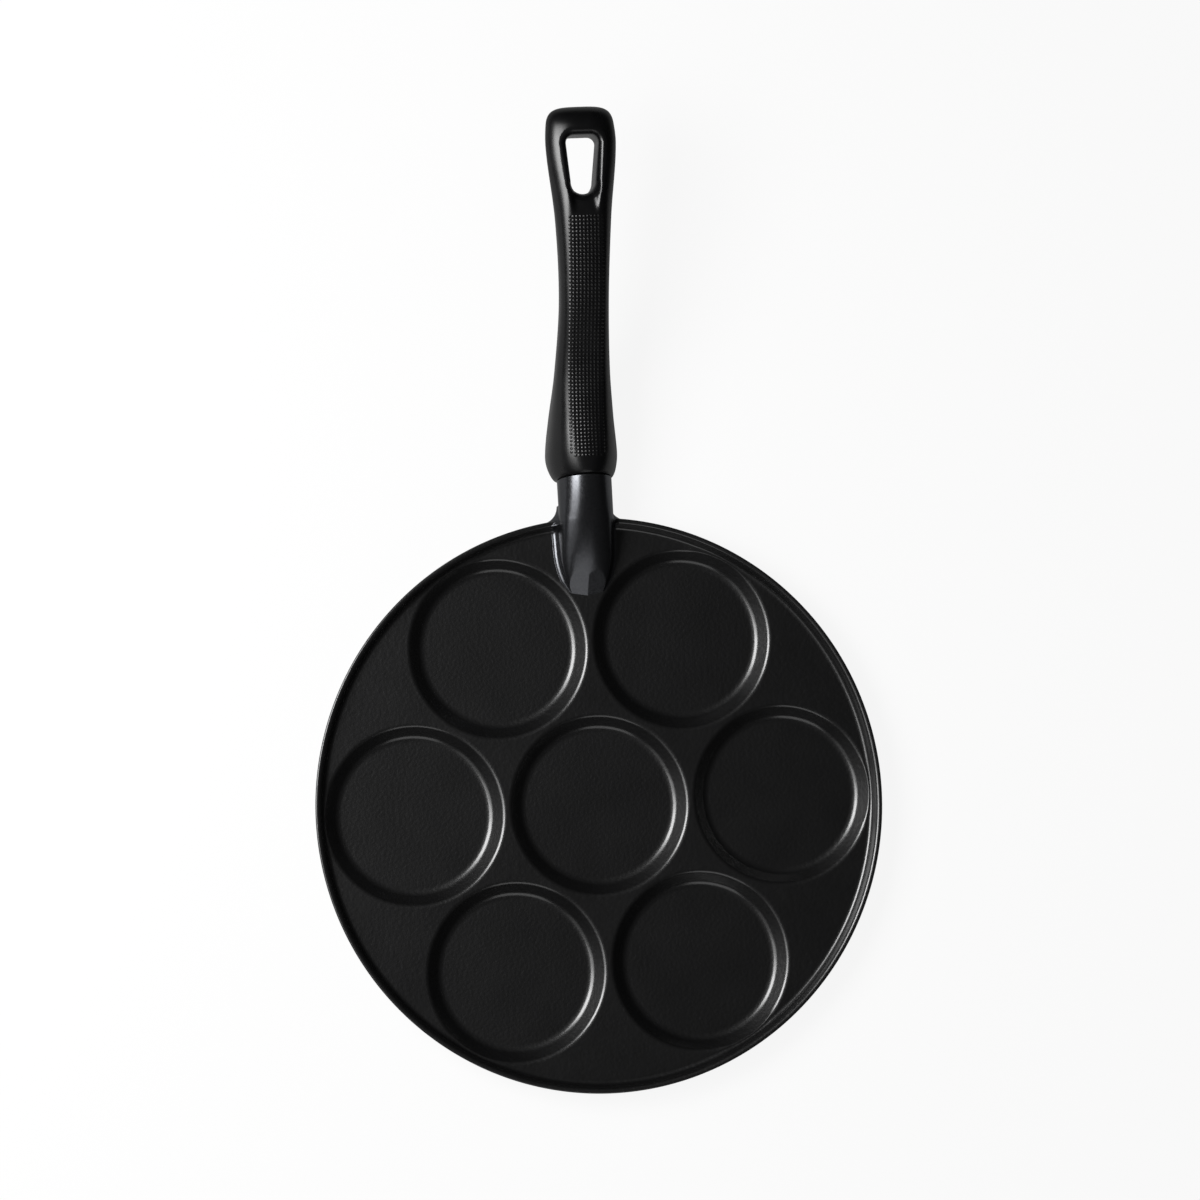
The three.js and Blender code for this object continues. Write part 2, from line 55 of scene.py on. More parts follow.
WELL_CENTRES = [(0.0, 0.0)] + [
    (WELL_PITCH * math.cos(math.radians(60 * k)), WELL_PITCH * math.sin(math.radians(60 * k)))
    for k in range(6)]


def rounded(corners, steps=6):
    """A profile through (across, up, radius) corners, with each corner turned on its radius."""
    profile = []
    for i, (across, up, radius) in enumerate(corners):
        here = np.array((across, up), float)
        if radius == 0:
            profile.append(here)
            continue
        back = np.array(corners[i - 1][:2], float) - here
        ahead = np.array(corners[i + 1][:2], float) - here
        back, ahead = back / np.linalg.norm(back), ahead / np.linalg.norm(ahead)
        half = math.acos(np.clip(back @ ahead, -1, 1)) / 2
        middle = (back + ahead) / np.linalg.norm(back + ahead)
        centre = here + middle * radius / math.sin(half)
        start = here + back * radius / math.tan(half) - centre
        end = here + ahead * radius / math.tan(half) - centre
        turn = math.acos(np.clip(start @ end / radius**2, -1, 1))
        for k in range(steps + 1):
            share = k / steps
            weights = math.sin((1 - share) * turn), math.sin(share * turn)
            profile.append(centre + (weights[0] * start + weights[1] * end) / math.sin(turn))
    return profile


def bridge(faces, one, two):
    for k in range(len(one)):
        after = (k + 1) % len(one)
        faces.append((one[k], one[after], two[after], two[k]))


def close_ring(points, faces, loop, apex):
    points.append(apex)
    for k in range(len(loop)):
        faces.append((loop[k], loop[(k + 1) % len(loop)], len(points) - 1))


def spun(points, faces, profile_at, centre, steps):
    """Rings of a profile of (radius, level) pairs about an upright line, where profile_at gives the
    profile at each angle; returns the first ring and the last."""
    spokes = []
    for k in range(steps):
        angle = 2 * math.pi * k / steps
        first = len(points)
        for radius, level in profile_at(angle):
            points.append((centre[0] + radius * math.cos(angle), centre[1] + radius * math.sin(angle), level))
        spokes.append(range(first, len(points)))
    rings = [list(ring) for ring in zip(*spokes)]
    for one, two in zip(rings, rings[1:]):
        bridge(faces, one, two)
    return rings[0], rings[-1]


def flat_web(points, faces, outer, holes, clearance, level):
    """Fills the flat metal between an outer ring and the rings around the seven centres, with a grid
    of points in it that keeps its triangles even."""
    grid, reach_rows = 5.0, 32
    loops = [outer] + holes
    order = [index for loop in loops for index in loop]
    flat = [Vector(points[index][:2]) for index in order]
    edges, start = [], 0
    for loop in loops:
        edges += [(start + k, start + (k + 1) % len(loop)) for k in range(len(loop))]
        start += len(loop)
    reach = max(spot.length for spot in flat)
    for row in range(-reach_rows, reach_rows + 1):
        for column in range(-reach_rows, reach_rows + 1):
            spot = Vector((grid * (column + 0.5 * (row % 2)), 0.866 * grid * row))
            gap = min((spot - Vector(centre)).length for centre in WELL_CENTRES)
            if spot.length < reach - grid / 2 and gap > clearance:
                flat.append(spot)
    made = geometry.delaunay_2d_cdt(flat, edges, [], 0, 1e-5)
    hole_of = {index: number for number, loop in enumerate(holes) for index in loop}
    index_of = []
    for k, spot in enumerate(made[0]):
        sources = made[3][k]
        if sources and sources[0] < len(order):
            index_of.append(order[sources[0]])
        else:
            points.append((spot[0], spot[1], level))
            index_of.append(len(points) - 1)
    for face in made[2]:
        inside = {hole_of.get(index_of[k], -1) for k in face}
        if len(inside) > 1 or inside == {-1}:
            faces.append(tuple(index_of[k] for k in face))


def make_piece(name, shells, materials, crease=35):
    """One object of closed shells, each (points in mm, faces, number of its material), with edges
    that turn by more than the crease angle left sharp."""
    whole = bmesh.new()
    for points, faces, number in shells:
        shell = bmesh.new()
        corners = [shell.verts.new(Vector(point) * MM) for point in points]
        for face in faces:
            made = shell.faces.new([corners[k] for k in face])
            made.material_index = number
            made.smooth = True
        bmesh.ops.recalc_face_normals(shell, faces=shell.faces[:])
        part = bpy.data.meshes.new(name)
        shell.to_mesh(part)
        shell.free()
        whole.from_mesh(part)
        bpy.data.meshes.remove(part)
    mesh = bpy.data.meshes.new(name)
    whole.to_mesh(mesh)
    whole.free()
    mesh.set_sharp_from_angle(angle=math.radians(crease))
    for material in materials:
        mesh.materials.append(material)
    piece = bpy.data.objects.new(name, mesh)
    bpy.context.scene.collection.objects.link(piece)
    return piece


# Length of a corner's tangent for each millimetre of its radius, at a well's lip and the rim's foot
lip_turn = math.tan(math.atan2(DECK - FLOOR, WELL_MOUTH - WELL_FLOOR) / 2)
rim_turn = math.tan(math.atan2(RIM_TOP - DECK, RIM_INNER - RIM_FOOT) / 2)


def foot_radius(angle):
    """Radius of the rim's inner foot, smaller where a well leaves little deck in front of it."""
    aside = (angle + math.pi / 6) % (math.pi / 3) - math.pi / 6
    across = WELL_PITCH * math.sin(aside)
    if abs(across) >= WELL_MOUTH:
        return RIM_FILLET
    room = RIM_FOOT - WELL_PITCH * math.cos(aside) - math.sqrt(WELL_MOUTH**2 - across**2)
    return min(RIM_FILLET, 0.72 * room / rim_turn)


def rim_profile(angle):
    radius = foot_radius(angle)
    return rounded([
        (RIM_FOOT - radius * rim_turn - 0.02, DECK, 0),
        (RIM_FOOT, DECK, radius),
        (RIM_INNER, RIM_TOP, RIM_INNER_EDGE),
        (RIM_OUTER, RIM_TOP, RIM_OUTER_EDGE),
        (RIM_UNDER, DECK_UNDER, RIM_UNDER_EDGE),
        (RIM_UNDER - 1.6, DECK_UNDER, 0),
    ])


def well_profile(centre, angle):
    """A well from its lip to a ring inside its floor; the lip is tighter where the rim is close."""
    edge = complex(centre[0] + WELL_MOUTH * math.cos(angle), centre[1] + WELL_MOUTH * math.sin(angle))
    room = RIM_FOOT - foot_radius(math.atan2(edge.imag, edge.real)) * rim_turn - 0.12 - abs(edge)
    lip = min(LIP_RADIUS, room / lip_turn)
    return rounded([
        (WELL_MOUTH + lip * lip_turn + 0.03, DECK, 0),
        (WELL_MOUTH, DECK, lip),
        (WELL_FLOOR, FLOOR, FLOOR_FILLET),
        (WELL_FLOOR - FLOOR_FILLET * lip_turn - 0.2, FLOOR, 0),
        (WELL_FLOOR / 2, FLOOR, 0),
    ], 8)


disc_points, disc_faces = [], []
lips = []
for centre in WELL_CENTRES:
    lip, inner = spun(disc_points, disc_faces, lambda angle: well_profile(centre, angle), centre, WELL_STEPS)
    close_ring(disc_points, disc_faces, inner, (*centre, FLOOR))
    lips.append(lip)
rim_foot, rim_back = spun(disc_points, disc_faces, rim_profile, (0, 0), RIM_STEPS)
flat_web(disc_points, disc_faces, rim_foot, lips, WELL_MOUTH + 4.0, DECK)

# Each well stands on a faced pad with three shallow turned grooves
pad_corners = [(PAD_ROOT + 0.32, DECK_UNDER, 0), (PAD_ROOT, DECK_UNDER, PAD_FILLET), (PAD_FACE, 0, PAD_EDGE)]
for radius in GROOVE_RADII:
    pad_corners += [(radius + GROOVE_MOUTH, 0, 0), (radius + GROOVE_ROOT, GROOVE_DEPTH, 0),
                    (radius - GROOVE_ROOT, GROOVE_DEPTH, 0), (radius - GROOVE_MOUTH, 0, 0)]
pad_profile = rounded(pad_corners)
roots = []
for centre in WELL_CENTRES:
    root, inner = spun(disc_points, disc_faces, lambda angle: pad_profile, centre, WELL_STEPS)
    close_ring(disc_points, disc_faces, inner, (*centre, 0))
    roots.append(root)
flat_web(disc_points, disc_faces, rim_back, roots, PAD_ROOT + 2.5, DECK_UNDER)


def linear(hex_colour):
    """An sRGB hex colour as the linear values that shaders take."""
    parts = [int(hex_colour[k:k + 2], 16) / 255 for k in (1, 3, 5)]
    return [c / 12.92 if c <= 0.04045 else ((c + 0.055) / 1.055) ** 2.4 for c in parts] + [1]


def feed(tree, node, sockets):
    """Sets a node's inputs, each by value or by link."""
    for name, value in sockets.items():
        if isinstance(value, bpy.types.NodeSocket):
            tree.links.new(value, node.inputs[name])
        else:
            node.inputs[name].default_value = value


def add_node(tree, kind, sockets=None, **settings):
    """Adds a node: settings are its own properties, sockets its inputs."""
    node = tree.nodes.new(kind)
    for name, value in settings.items():
        setattr(node, name, value)
    feed(tree, node, sockets or {})
    return node


def new_material(name):
    """A node material, with its tree, its shader and the piece's own coordinates."""
    material = bpy.data.materials.new(name)
    material.use_nodes = True
    tree = material.node_tree
    return material, tree, tree.nodes["Principled BSDF"], add_node(tree, "ShaderNodeTexCoord").outputs["Object"]


# Sprayed non-stick on die-cast aluminium: a satin black film over fine casting grain, which gives a
# soft haze and a slightly patchy sheen, under a clear top coat that lies smooth over the grain and
# draws bright lines along every turned edge.
GRAIN = 1.6  # mm; the real grain of about 0.3 mm is drawn coarser so that it shows
PATCH = 24.0  # mm, drift of the film's thickness
nonstick, tree, shader, place = new_material("sprayed_nonstick_on_cast_aluminium")
grain = add_node(tree, "ShaderNodeTexNoise", {"Vector": place, "Scale": 1 / (GRAIN * MM), "Detail": 3.0})
patch = add_node(tree, "ShaderNodeTexNoise", {"Vector": place, "Scale": 1 / (PATCH * MM), "Detail": 2.0})
tone = add_node(tree, "ShaderNodeMapRange", {
    "Value": grain.outputs["Fac"], "From Min": 0.3, "From Max": 0.7})
colour = add_node(tree, "ShaderNodeMix", {
    0: tone.outputs["Result"], 6: linear("#040404"), 7: linear("#080809")}, data_type="RGBA")
sheen = add_node(tree, "ShaderNodeMapRange", {
    "Value": patch.outputs["Fac"], "From Min": 0.3, "From Max": 0.7, "To Min": 0.44, "To Max": 0.50})
relief = add_node(tree, "ShaderNodeBump", {
    "Height": grain.outputs["Fac"], "Strength": 1.0, "Distance": 0.17 * MM})
feed(tree, shader, {
    "Base Color": colour.outputs[2], "Roughness": sheen.outputs["Result"], "Normal": relief.outputs["Normal"],
    "IOR": 1.38, "Coat Weight": 1.0, "Coat IOR": 1.6, "Coat Roughness": 0.19})

# ------------------------------------------------------------------------------------------------
# Handle stub: the boss that rises from the deck, crosses the rim and ends in a round collar with a
# tang. It is cast in one with the disc, and only its own smoother die face and the heavier coat
# there set it apart.
# ------------------------------------------------------------------------------------------------
COLLAR_RADIUS, COLLAR_AXIS, COLLAR_END, COLLAR_BREAK = 12.7, 17.8, 153.0, 0.4
MOUTH_LEAN, LEAN_START = math.tan(math.radians(8)), 143.0
CROWN_RUN, CROWN_POWER = 56.0, 1.7
NOSE_START, NOSE_HALF, NOSE_RUN = 97.0, 6.2, 22.0
BOSS_HALF, BOSS_END, SWELL_START, SWELL_RUN = 12.2, 133.0, 113.0, 20.0
FACE_START, FACE_SLOPE, FACE_FALL = 97.6, 0.66, 0.12
FOOT_FILLET, RUN_OUT_START, RUN_OUT = 2.6, 130.8, 2.2
ARCH_STEPS, FOOT_STEPS = 36, 8
stub_rim = [(r, z) for r, z in rim_profile(math.pi / 2) if r < BOSS_END and z > DECK - 0.01]


def eased(value):
    """0 up to 0, 1 from 1 on, and a smooth step between."""
    share = min(1, max(0, value))
    return share * share * (3 - 2 * share)


def lofted(rows, ends="flat"):
    """Points and faces of a skin over rows of as many points each. The end rows get flat faces or
    fans, or are joined to each other."""
    points, faces, loops = [], [], []
    for row in rows:
        loops.append(list(range(len(points), len(points) + len(row))))
        points += row
    for one, two in zip(loops, loops[1:]):
        bridge(faces, one, two)
    if ends == "joined":
        bridge(faces, loops[-1], loops[0])
    for loop in (loops[0], loops[-1]):
        if ends == "flat":
            faces.append(tuple(loop))
        elif ends == "fan":
            close_ring(points, faces, loop, tuple(np.mean([points[k] for k in loop], axis=0)))
    return points, faces


def crown_at(y):
    """Height of the stub's top line, level at the handle and falling away to the nose."""
    back = min(1, max(0, (COLLAR_END - y) / CROWN_RUN))
    return DECK + (COLLAR_AXIS + COLLAR_RADIUS - DECK) * (1 - back**CROWN_POWER)


def boss_half(distance):
    """Half width of the boss, opening from the nose and swelling a little into the collar."""
    opening = min(1, max(0, (distance - NOSE_START) / NOSE_RUN))
    return (NOSE_HALF + (BOSS_HALF - NOSE_HALF) * math.sin(opening * math.pi / 2)
            + (COLLAR_RADIUS - BOSS_HALF) * eased((distance - SWELL_START) / SWELL_RUN))


def nose_face(x, y):
    """Level of the two flat faces that trim the nose and meet in a crease along its middle."""
    return DECK + FACE_SLOPE * (y - FACE_START) - FACE_FALL * abs(x)


def well_side(x, y):
    """Level of the nearest upper well's wall, which trims the boss where the two run together."""
    reach = math.hypot(abs(x) - WELL_PITCH / 2, y - WELL_PITCH * math.sin(math.pi / 3))
    return DECK - (WELL_MOUTH + 0.5 - reach) - 0.05 if reach < WELL_MOUTH + 0.5 else 1e3


def arch(half, crown, spring):
    angles = [math.pi / 2 * k / ARCH_STEPS for k in range(ARCH_STEPS + 1)]
    return [(half * math.sin(angle), spring + (crown - spring) * math.cos(angle)) for angle in angles]


def stub_row(side, place):
    """One row of the stub from its right half, (x, z) from the crown down; place gives each y."""
    row = []
    for sign, run in ((-1, side[:0:-1]), (1, side)):
        for x, z in run:
            y = place(x, z)
            row.append((sign * x, y, min(z, well_side(x, y), nose_face(x, y))))
    return row


def leant(y, z):
    """The collar's end leans back a little towards its foot."""
    lean = MOUTH_LEAN * max(0, (y - LEAN_START) / (COLLAR_END - LEAN_START))
    return y + (z - COLLAR_AXIS - COLLAR_RADIUS) * lean


# Over the deck and the rim the rows lie on circles about the pan's centre, with a fillet at the foot
stub_rows = []
for radius in list(np.arange(96.6, 127.0, 0.4)) + [r for r, _ in stub_rim]:
    half, crown = boss_half(radius), crown_at(radius)
    base = float(np.interp(radius, *zip(*stub_rim)))
    fillet = min(FOOT_FILLET, 0.5 * (crown - DECK) + 0.01) * (1 - eased((radius - RUN_OUT_START) / RUN_OUT)) + 0.05
    side = arch(half, crown, min(COLLAR_AXIS, (DECK + crown) / 2))
    for k in range(1, FOOT_STEPS + 1):
        angle = math.pi / 2 * k / FOOT_STEPS
        side.append((half + fillet * (1 - math.cos(angle)), base + fillet * (1 - math.sin(angle))))
    side += [(half + fillet + 0.5, base - 0.3), (half + fillet - 0.5, base - 1.6)]
    stub_rows.append(stub_row(side, lambda x, z: math.sqrt(radius**2 - x * x)))

# Beyond the rim they stand upright, and this skin is the collar's upper half
collar_places = list(np.arange(133.5, 143.0, 0.5)) + [145, 148, 150.5, 152.6, COLLAR_END]
for y in collar_places:
    broken = COLLAR_BREAK if y == COLLAR_END else 0
    side = arch(COLLAR_RADIUS - broken, crown_at(y) - broken, COLLAR_AXIS)
    side += [(COLLAR_RADIUS - broken - 0.08 * k, COLLAR_AXIS - 0.1 * k) for k in range(1, FOOT_STEPS + 3)]
    stub_rows.append(stub_row(side, lambda x, z: leant(y, z)))

# The collar's lower half, with a cast web on each side that runs out into the rim's outer face
COLLAR_STEPS = 240
WEB_RADIUS, WEB_CENTRE, WEB_ROOT = 8.0, (20.4, 139.72), 131.3
WEB_TOP, WEB_SLOPE, WEB_UNDER = 14.6, 3.6, 6.2


def collar_reach(angle, web):
    """Distance of the collar's skin from its axis, out to the webs' half width below the rim's top."""
    out, down = max(abs(math.sin(angle)), 1e-6), -math.cos(angle)
    if down <= 0 or web == 0:
        return COLLAR_RADIUS
    full = ((out / web) ** 8 + (down / (COLLAR_AXIS - WEB_UNDER)) ** 8) ** -0.125
    below = WEB_TOP - COLLAR_AXIS + web * down / out
    return COLLAR_RADIUS + max(0, full - COLLAR_RADIUS) * eased(below / WEB_SLOPE)


collar_rows = []
for y in [WEB_ROOT, 131.8, 132.0, 132.3, 132.6, 133.0] + collar_places:
    short = min(WEB_RADIUS, WEB_CENTRE[1] - y)
    web = WEB_CENTRE[0] - math.sqrt(WEB_RADIUS**2 - short**2) if short > 0 else 0
    broken = COLLAR_BREAK if y == COLLAR_END else 0.02 if y < 132.7 else 0
    row = []
    for k in range(COLLAR_STEPS):
        angle = 2 * math.pi * k / COLLAR_STEPS
        reach = collar_reach(angle, web) - broken
        x, z = reach * math.sin(angle), COLLAR_AXIS + reach * math.cos(angle)
        if z > COLLAR_AXIS:
            z = COLLAR_AXIS + (z - COLLAR_AXIS) * (crown_at(y) - COLLAR_AXIS - 0.3) / COLLAR_RADIUS
        row.append((x, math.sqrt(y * y - x * x) if y == WEB_ROOT else leant(y, z), z))
    collar_rows.append(row)

# The tang that the handle slides over
TANG_HALF_WIDTH, TANG_HALF_HEIGHT, TANG_AXIS, TANG_START, TANG_END = 7.0, 5.0, 20.3, 148.0, 187.0
TANG_CORNER, TANG_CHAMFER = 0.8, 1.0
tang_rows = []
for y, inset in ((TANG_START, 0.0), (TANG_END - TANG_CHAMFER, 0.0), (TANG_END, TANG_CHAMFER)):
    wide, high = TANG_HALF_WIDTH - inset, TANG_HALF_HEIGHT - inset
    outline = rounded([
        (0, high, 0), (wide, high, TANG_CORNER), (wide, -high, TANG_CORNER), (-wide, -high, TANG_CORNER),
        (-wide, high, TANG_CORNER), (-0.01, high, 0)], 4)
    tang_rows.append([(x, y, TANG_AXIS + z) for x, z in outline])

# The same coat laid heavier on a polished die face: smoother and more metallic to the eye, with
# the aluminium flake in it showing as a broad soft streak along the collar.
FLAKE = 0.7  # mm; flakes of under 0.1 mm are drawn coarser so that they show
RIPPLE = 5.0  # mm, the slow orange peel of a thick sprayed film
flake_coat, tree, shader, place = new_material("sprayed_flake_coat_on_cast_aluminium")
flake = add_node(tree, "ShaderNodeTexNoise", {"Vector": place, "Scale": 1 / (FLAKE * MM), "Detail": 2.0})
ripple = add_node(tree, "ShaderNodeTexNoise", {"Vector": place, "Scale": 1 / (RIPPLE * MM), "Detail": 1.0})
tone = add_node(tree, "ShaderNodeMapRange", {
    "Value": flake.outputs["Fac"], "From Min": 0.3, "From Max": 0.7})
colour = add_node(tree, "ShaderNodeMix", {
    0: tone.outputs["Result"], 6: linear("#4c4d50"), 7: linear("#5c5d60")}, data_type="RGBA")
sheen = add_node(tree, "ShaderNodeMapRange", {
    "Value": flake.outputs["Fac"], "From Min": 0.3, "From Max": 0.7, "To Min": 0.23, "To Max": 0.27})
relief = add_node(tree, "ShaderNodeBump", {
    "Height": ripple.outputs["Fac"], "Strength": 0.3, "Distance": 0.15 * MM})
feed(tree, shader, {
    "Base Color": colour.outputs[2], "Roughness": sheen.outputs["Result"], "Normal": relief.outputs["Normal"],
    "Metallic": 0.95})

pan = make_piece("pan_casting", [
    (disc_points, disc_faces, 0),
    (*lofted(stub_rows), 1),
    (*lofted(collar_rows), 1),
    (*lofted(tang_rows), 1),
], [nonstick, flake_coat])
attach(pan, "root")
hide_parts("pan_body")

# ------------------------------------------------------------------------------------------------
# Handle grip: one compression moulding of black phenolic, swept up from the stub, with a hanging
# hole, a thumb scoop running into it, and a moulded panel of small pimples along the top. A socket
# takes the tang, and a counterbored hole underneath takes the screw.
# ------------------------------------------------------------------------------------------------
GRIP_START, GRIP_LENGTH = 153.3, 165.5
# Distance from the mouth, width, top over the stub's axis, depth, share of the depth under the
# widest line, half of the flat along the top
GRIP_STATIONS = [
    (0, 32.4, 15.4, 29.8, 0.40, 0.6),
    (10, 33.2, 15.8, 29.2, 0.22, 4.0),
    (26, 29.8, 17.2, 28.0, 0.30, 6.2),
    (48, 25.4, 22.4, 26.2, 0.58, 6.6),
    (79, 22.8, 35.8, 24.0, 0.64, 6.6),
    (114, 25.8, 46.0, 20.6, 0.58, 6.2),
    (148, 32.6, 50.4, 17.4, 0.55, 3.4),
    (165.5, 29.8, 50.4, 17.4, 0.55, 3.0),
]
MOUTH_ROUNDING, MOUTH_INSET, MOUTH_DROP = 11.0, 3.4, 2.0
END_ROUNDING, END_SQUARENESS, TOP_CAMBER = 10.0, 3.8, 0.13
SCOOP_START, SCOOP_RUN, SCOOP_END, SCOOP_FADE, SCOOP_DEPTH = 268.5, 12.0, 291.0, 7.0, 3.6
HOLE_NEAR, HOLE_FAR, HOLE_ROUND, HOLE_WIDE, HOLE_CORNER = 278.9, 305.4, 5.7, 7.5, 3.6
SIDE_ROLL, UNDER_ROLL = 4.0, 1.5
SOCKET_HALF, SOCKET_LOW, SOCKET_HIGH, SOCKET_END = 7.3, 15.0, 25.6, 187.3
SCREW_PLACE = (0, 167.0)
POCKET = [(6.6, 2.0), (6.6, 4.2), (5.3, 5.6), (5.3, 12.137), (2.8, 12.137), (2.8, 20.0)]  # radius, level
LAND_STEPS, FLANK_STEPS, UNDER_STEPS = 16, 30, 32


def through(distance, column):
    """A smooth curve through the stations' values of one column."""
    at = [row[0] for row in GRIP_STATIONS]
    value = [row[column] for row in GRIP_STATIONS]
    last = len(at) - 1
    k = max(i for i in range(last) if i == 0 or at[i] <= distance)
    slope = []
    for i in (k, k + 1):
        low, high = max(i - 1, 0), min(i + 1, last)
        slope.append((value[high] - value[low]) / (at[high] - at[low]))
    span = at[k + 1] - at[k]
    t = (distance - at[k]) / span
    return ((2 * t**3 - 3 * t**2 + 1) * value[k] + (t**3 - 2 * t**2 + t) * span * slope[0]
            + (3 * t**2 - 2 * t**3) * value[k + 1] + (t**3 - t**2) * span * slope[1])


def grip_levels(distance):
    """Half width, half of the flat top, and the top, widest and bottom levels of the grip."""
    into_mouth = max(0, 1 - distance / MOUTH_ROUNDING)
    turn = 1 - math.sqrt(1 - into_mouth**2)
    into_end = max(0, 1 - (GRIP_LENGTH - distance) / END_ROUNDING)
    squeeze = math.sqrt(1 - into_end**2)
    narrow = (1 - into_end**END_SQUARENESS) ** (1 / END_SQUARENESS)
    full = COLLAR_AXIS + through(distance, 2)
    bottom = full - through(distance, 3) + MOUTH_INSET / 2 * turn
    belly = full - through(distance, 3) * (1 - through(distance, 4))
    crest = full - MOUTH_DROP * turn
    return ((through(distance, 1) / 2 - MOUTH_INSET * turn) * narrow, through(distance, 5) * (1 - turn) * narrow,
            belly + (crest - belly) * squeeze, belly, belly + (bottom - belly) * squeeze)


def grip_place(distance, x, z):
    """A place on the grip, which leans with the collar's end at its mouth."""
    lean = MOUTH_LEAN * max(0, 1 - distance / GRIP_STATIONS[2][0]) ** 2
    return x, GRIP_START + distance + (z - COLLAR_AXIS - COLLAR_RADIUS) * lean, z


def grip_flank(share, rise, run):
    """Height of the flank over its widest line at a share of its run, as a part of its rise."""
    return max(0, 1 - share * share) ** (1 / (2 + min(1.2, max(0, rise / run - 1))))


def scoop(x, y):
    """Depth of the thumb scoop, a spoon that deepens into the near end of the hole."""
    along = min(1, (y - SCOOP_START) / SCOOP_RUN)
    if along < 0 or y > SCOOP_END:
        return 0
    middle, wide = 5.2 + 0.8 * along, 1.2 + 1.0 * along
    wall = eased((middle + wide - abs(x)) / (2 * wide))
    return SCOOP_DEPTH * along**1.2 * wall * min(1, (SCOOP_END - y) / SCOOP_FADE)


def grip_upper(x, half, land, top, belly):
    """Level of the upper side across one section: a slightly cambered top between two round flanks."""
    out = max(0, abs(x) - land) / (half - land)
    camber = 1 - TOP_CAMBER * (x / half) ** 2
    return belly + (top - belly) * grip_flank(out, top - belly, half - land) * camber


def grip_over(x, y):
    """Level of the grip's upper side at a place in plan."""
    return grip_upper(x, *grip_levels(y - GRIP_START)[:4]) - scoop(x, y)


def grip_under(x, y):
    """Level of the grip's underside at a place in plan."""
    half, _, _, belly, bottom = grip_levels(y - GRIP_START)
    return belly - (belly - bottom) * math.sqrt(max(0, 1 - (x / half) ** 2))


straight = GRIP_LENGTH - END_ROUNDING
distances = [MOUTH_ROUNDING * (1 - math.cos(math.radians(5 * k))) for k in range(19)]
distances += list(np.arange(MOUTH_ROUNDING + 0.9, 114, 0.9)) + list(np.arange(114, straight, 0.5))
distances += [straight + END_ROUNDING * math.sin(math.radians(5.5 * k)) for k in range(1, 17)]
grip_rows = []
for distance in distances:
    half, land, top, belly, bottom = grip_levels(distance)
    right = [land + (half - land) * math.sin(math.pi / 2 * k / FLANK_STEPS) for k in range(1, FLANK_STEPS + 1)]
    over = [land * (2 * k / LAND_STEPS - 1) for k in range(LAND_STEPS + 1)] + right
    outline = [(x, grip_upper(x, half, land, top, belly) - scoop(x, GRIP_START + distance)) for x in over]
    for k in range(1, UNDER_STEPS):
        angle = math.pi * k / UNDER_STEPS
        outline.append((half * math.cos(angle), belly - (belly - bottom) * math.sin(angle)))
    outline += [(-x, z) for x, z in reversed(outline[LAND_STEPS + 1:len(over)])]
    grip_rows.append([grip_place(distance, x, z) for x, z in outline])

# Compression-moulded phenolic: hard, black and a little glossy where the steel mould was polished,
# so it mirrors the softbox in long soft bands; fine flow marks and handling dull it in places.
FLOW = 9.0  # mm, length of the flow marks
PORE = 0.8  # mm; the filler's 0.2 mm texture is drawn coarser so that it shows
phenolic, tree, shader, place = new_material("compression_moulded_black_phenolic")
flow = add_node(tree, "ShaderNodeTexNoise", {"Vector": place, "Scale": 1 / (FLOW * MM), "Detail": 3.0})
pore = add_node(tree, "ShaderNodeTexNoise", {"Vector": place, "Scale": 1 / (PORE * MM), "Detail": 2.0})
colour = add_node(tree, "ShaderNodeMix", {
    0: flow.outputs["Fac"], 6: linear("#050506"), 7: linear("#0b0b0c")}, data_type="RGBA")
sheen = add_node(tree, "ShaderNodeMapRange", {
    "Value": flow.outputs["Fac"], "From Min": 0.3, "From Max": 0.7, "To Min": 0.26, "To Max": 0.31})
relief = add_node(tree, "ShaderNodeBump", {
    "Height": pore.outputs["Fac"], "Strength": 0.12, "Distance": 0.05 * MM})
feed(tree, shader, {
    "Base Color": colour.outputs[2], "Roughness": sheen.outputs["Result"], "Normal": relief.outputs["Normal"],
    "IOR": 1.52})


def hole_outline(grow):
    """Plan of the hanging hole, round towards the pan and squarer towards the butt."""
    def arc(x, y, radius, start, end, steps):
        angles = [math.radians(start + (end - start) * k / steps) for k in range(steps + 1)]
        return [(x + (radius + grow) * math.cos(a), y + (radius + grow) * math.sin(a)) for a in angles]

    inner = HOLE_WIDE - HOLE_CORNER
    plan = arc(0, HOLE_NEAR + HOLE_ROUND, HOLE_ROUND, 180, 360, 32)
    plan += arc(inner, HOLE_FAR - HOLE_CORNER, HOLE_CORNER, 0, 90, 12)
    plan += arc(-inner, HOLE_FAR - HOLE_CORNER, HOLE_CORNER, 90, 180, 12)
    return plan


def cut_out(piece, cutters, material):
    """Takes closed cutters, given by their rows of points, out of a piece."""
    blocks = [make_piece("cutter", [(*lofted(rows, "fan"), 0)], [material]) for rows in cutters]
    for block in blocks:
        cut = piece.modifiers.new(block.name, "BOOLEAN")
        cut.operation, cut.solver, cut.object = "DIFFERENCE", "EXACT", block
    mesh = bpy.data.meshes.new_from_object(piece.evaluated_get(bpy.context.evaluated_depsgraph_get()))
    piece.modifiers.clear()
    piece.data = mesh
    for block in blocks:
        bpy.data.objects.remove(block)
    mesh.set_sharp_from_angle(angle=math.radians(35))


